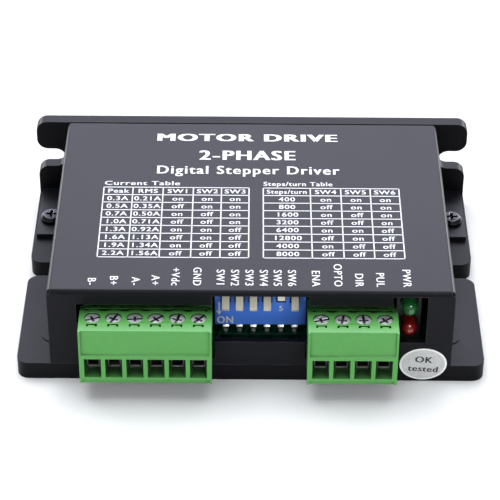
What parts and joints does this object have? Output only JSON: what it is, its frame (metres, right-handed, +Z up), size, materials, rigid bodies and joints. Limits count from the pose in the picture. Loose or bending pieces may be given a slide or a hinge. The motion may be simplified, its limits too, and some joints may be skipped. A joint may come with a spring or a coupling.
{
  "type": "stepper motor driver",
  "caption": "Small stepper driver: L-shaped black heat-sink base with open mounting slots, folded cover, green pluggable terminals, blue selector switches and two lamps.",
  "frame": {"origin": "middle of the base's footprint, on the flat underside of its floor", "axes": "+X to the right along the 86 mm width, -Y towards the terminals, +Y towards the rear wall, +Z up through the printed cover"},
  "size_m": [0.086, 0.063, 0.0205],
  "materials": {
    "cast_black": "black anodised, satin",
    "paint_black": "satin black powder paint with a little sheen",
    "black_zinc": "black zinc plate",
    "board_green": "solder mask over glass-fibre board",
    "terminal_green": "satin moulded polyamide",
    "steel": "bright zinc plate",
    "tin": "matt tin plate",
    "switch_blue": "satin moulded plastic",
    "lever_ivory": "satin moulded plastic",
    "lamp_black": "matt moulded plastic",
    "lamp_green": "glossy tinted epoxy, unlit",
    "lamp_red": "glossy tinted epoxy, unlit",
    "label_silver": "satin foil label with a white rim",
    "chip_black": "moulded epoxy",
    "pad_grey": "silicone gap filler",
    "can_silver": "plain drawn can"
  },
  "bodies": {
    "housing": {"base_heatsink": "cast_black", "cover": "paint_black", "cover_screw_left": "black_zinc", "cover_screw_right": "black_zinc", "circuit_board": "board_green", "switch_body": "switch_blue", "lamp_holder": "lamp_black", "lamp_green": "lamp_green", "lamp_red": "lamp_red", "inspection_label": "label_silver", "driver_chip": "chip_black", "thermal_pad": "pad_grey", "controller_chip": "chip_black", "bulk_capacitor": "can_silver", "optocoupler": "chip_black", "board_screw_1": "steel", "board_screw_2": "steel", "board_screw_3": "steel", "board_screw_4": "steel", "header_6way": "terminal_green", "header_pin_6way_1": "tin", "header_pin_6way_2": "tin", "header_pin_6way_3": "tin", "header_pin_6way_4": "tin", "header_pin_6way_5": "tin", "header_pin_6way_6": "tin", "header_4way": "terminal_green", "header_pin_4way_1": "tin", "header_pin_4way_2": "tin", "header_pin_4way_3": "tin", "header_pin_4way_4": "tin"},
    "plug_6way": {"plug_6way": "terminal_green"},
    "screw_6way_1": {"clamp_screw_6way_1": "steel"},
    "cage_6way_1": {"clamp_cage_6way_1": "tin"},
    "screw_6way_2": {"clamp_screw_6way_2": "steel"},
    "cage_6way_2": {"clamp_cage_6way_2": "tin"},
    "screw_6way_3": {"clamp_screw_6way_3": "steel"},
    "cage_6way_3": {"clamp_cage_6way_3": "tin"},
    "screw_6way_4": {"clamp_screw_6way_4": "steel"},
    "cage_6way_4": {"clamp_cage_6way_4": "tin"},
    "screw_6way_5": {"clamp_screw_6way_5": "steel"},
    "cage_6way_5": {"clamp_cage_6way_5": "tin"},
    "screw_6way_6": {"clamp_screw_6way_6": "steel"},
    "cage_6way_6": {"clamp_cage_6way_6": "tin"},
    "plug_4way": {"plug_4way": "terminal_green"},
    "screw_4way_1": {"clamp_screw_4way_1": "steel"},
    "cage_4way_1": {"clamp_cage_4way_1": "tin"},
    "screw_4way_2": {"clamp_screw_4way_2": "steel"},
    "cage_4way_2": {"clamp_cage_4way_2": "tin"},
    "screw_4way_3": {"clamp_screw_4way_3": "steel"},
    "cage_4way_3": {"clamp_cage_4way_3": "tin"},
    "screw_4way_4": {"clamp_screw_4way_4": "steel"},
    "cage_4way_4": {"clamp_cage_4way_4": "tin"},
    "lever_1": {"switch_lever_1": "lever_ivory"},
    "lever_2": {"switch_lever_2": "lever_ivory"},
    "lever_3": {"switch_lever_3": "lever_ivory"},
    "lever_4": {"switch_lever_4": "lever_ivory"},
    "lever_5": {"switch_lever_5": "lever_ivory"},
    "lever_6": {"switch_lever_6": "lever_ivory"}
  },
  "joints": [
    {"name": "plug_6way_pull", "type": "slide", "parent": "housing", "child": "plug_6way", "axis": [0, -1, 0], "range_m": [0, 0.014]},
    {"name": "screw_6way_1_turn", "type": "hinge", "parent": "plug_6way", "child": "screw_6way_1", "pos_m": [-0.02845, -0.03035, 0.013], "axis": [0, 0, 1], "range_deg": [-1530, 0]},
    {"name": "cage_6way_1_lift", "type": "slide", "parent": "plug_6way", "child": "cage_6way_1", "axis": [0, 0, 1], "range_m": [0, 0.0017]},
    {"name": "screw_6way_2_turn", "type": "hinge", "parent": "plug_6way", "child": "screw_6way_2", "pos_m": [-0.02464, -0.03035, 0.013], "axis": [0, 0, 1], "range_deg": [-1530, 0]},
    {"name": "cage_6way_2_lift", "type": "slide", "parent": "plug_6way", "child": "cage_6way_2", "axis": [0, 0, 1], "range_m": [0, 0.0017]},
    {"name": "screw_6way_3_turn", "type": "hinge", "parent": "plug_6way", "child": "screw_6way_3", "pos_m": [-0.02082, -0.03035, 0.013], "axis": [0, 0, 1], "range_deg": [-1530, 0]},
    {"name": "cage_6way_3_lift", "type": "slide", "parent": "plug_6way", "child": "cage_6way_3", "axis": [0, 0, 1], "range_m": [0, 0.0017]},
    {"name": "screw_6way_4_turn", "type": "hinge", "parent": "plug_6way", "child": "screw_6way_4", "pos_m": [-0.01701, -0.03035, 0.013], "axis": [0, 0, 1], "range_deg": [-1530, 0]},
    {"name": "cage_6way_4_lift", "type": "slide", "parent": "plug_6way", "child": "cage_6way_4", "axis": [0, 0, 1], "range_m": [0, 0.0017]},
    {"name": "screw_6way_5_turn", "type": "hinge", "parent": "plug_6way", "child": "screw_6way_5", "pos_m": [-0.0132, -0.03035, 0.013], "axis": [0, 0, 1], "range_deg": [-1530, 0]},
    {"name": "cage_6way_5_lift", "type": "slide", "parent": "plug_6way", "child": "cage_6way_5", "axis": [0, 0, 1], "range_m": [0, 0.0017]},
    {"name": "screw_6way_6_turn", "type": "hinge", "parent": "plug_6way", "child": "screw_6way_6", "pos_m": [-0.0094, -0.03035, 0.013], "axis": [0, 0, 1], "range_deg": [-1530, 0]},
    {"name": "cage_6way_6_lift", "type": "slide", "parent": "plug_6way", "child": "cage_6way_6", "axis": [0, 0, 1], "range_m": [0, 0.0017]},
    {"name": "plug_4way_pull", "type": "slide", "parent": "housing", "child": "plug_4way", "axis": [0, -1, 0], "range_m": [0, 0.014]},
    {"name": "screw_4way_1_turn", "type": "hinge", "parent": "plug_4way", "child": "screw_4way_1", "pos_m": [0.01263, -0.03035, 0.013], "axis": [0, 0, 1], "range_deg": [-1530, 0]},
    {"name": "cage_4way_1_lift", "type": "slide", "parent": "plug_4way", "child": "cage_4way_1", "axis": [0, 0, 1], "range_m": [0, 0.0017]},
    {"name": "screw_4way_2_turn", "type": "hinge", "parent": "plug_4way", "child": "screw_4way_2", "pos_m": [0.01644, -0.03035, 0.013], "axis": [0, 0, 1], "range_deg": [-1530, 0]},
    {"name": "cage_4way_2_lift", "type": "slide", "parent": "plug_4way", "child": "cage_4way_2", "axis": [0, 0, 1], "range_m": [0, 0.0017]},
    {"name": "screw_4way_3_turn", "type": "hinge", "parent": "plug_4way", "child": "screw_4way_3", "pos_m": [0.02024, -0.03035, 0.013], "axis": [0, 0, 1], "range_deg": [-1530, 0]},
    {"name": "cage_4way_3_lift", "type": "slide", "parent": "plug_4way", "child": "cage_4way_3", "axis": [0, 0, 1], "range_m": [0, 0.0017]},
    {"name": "screw_4way_4_turn", "type": "hinge", "parent": "plug_4way", "child": "screw_4way_4", "pos_m": [0.02405, -0.03035, 0.013], "axis": [0, 0, 1], "range_deg": [-1530, 0]},
    {"name": "cage_4way_4_lift", "type": "slide", "parent": "plug_4way", "child": "cage_4way_4", "axis": [0, 0, 1], "range_m": [0, 0.0017]},
    {"name": "lever_1_swing", "type": "hinge", "parent": "housing", "child": "lever_1", "pos_m": [-0.00463, -0.0202, 0.0152], "axis": [1, 0, 0], "range_deg": [-42, 0]},
    {"name": "lever_2_swing", "type": "hinge", "parent": "housing", "child": "lever_2", "pos_m": [-0.00209, -0.0202, 0.0152], "axis": [1, 0, 0], "range_deg": [-42, 0]},
    {"name": "lever_3_swing", "type": "hinge", "parent": "housing", "child": "lever_3", "pos_m": [0.00045, -0.0202, 0.0152], "axis": [1, 0, 0], "range_deg": [-42, 0]},
    {"name": "lever_4_swing", "type": "hinge", "parent": "housing", "child": "lever_4", "pos_m": [0.00299, -0.0202, 0.0152], "axis": [1, 0, 0], "range_deg": [-42, 0]},
    {"name": "lever_5_swing", "type": "hinge", "parent": "housing", "child": "lever_5", "pos_m": [0.00553, -0.0202, 0.0152], "axis": [1, 0, 0], "range_deg": [0, 42]},
    {"name": "lever_6_swing", "type": "hinge", "parent": "housing", "child": "lever_6", "pos_m": [0.00807, -0.0202, 0.0152], "axis": [1, 0, 0], "range_deg": [-42, 0]}
  ],
  "couplings": [
    {"joint": "screw_6way_1_turn", "follows": "cage_6way_1_lift", "rad_per_m": -15708},
    {"joint": "screw_6way_2_turn", "follows": "cage_6way_2_lift", "rad_per_m": -15708},
    {"joint": "screw_6way_3_turn", "follows": "cage_6way_3_lift", "rad_per_m": -15708},
    {"joint": "screw_6way_4_turn", "follows": "cage_6way_4_lift", "rad_per_m": -15708},
    {"joint": "screw_6way_5_turn", "follows": "cage_6way_5_lift", "rad_per_m": -15708},
    {"joint": "screw_6way_6_turn", "follows": "cage_6way_6_lift", "rad_per_m": -15708},
    {"joint": "screw_4way_1_turn", "follows": "cage_4way_1_lift", "rad_per_m": -15708},
    {"joint": "screw_4way_2_turn", "follows": "cage_4way_2_lift", "rad_per_m": -15708},
    {"joint": "screw_4way_3_turn", "follows": "cage_4way_3_lift", "rad_per_m": -15708},
    {"joint": "screw_4way_4_turn", "follows": "cage_4way_4_lift", "rad_per_m": -15708}
  ]
}
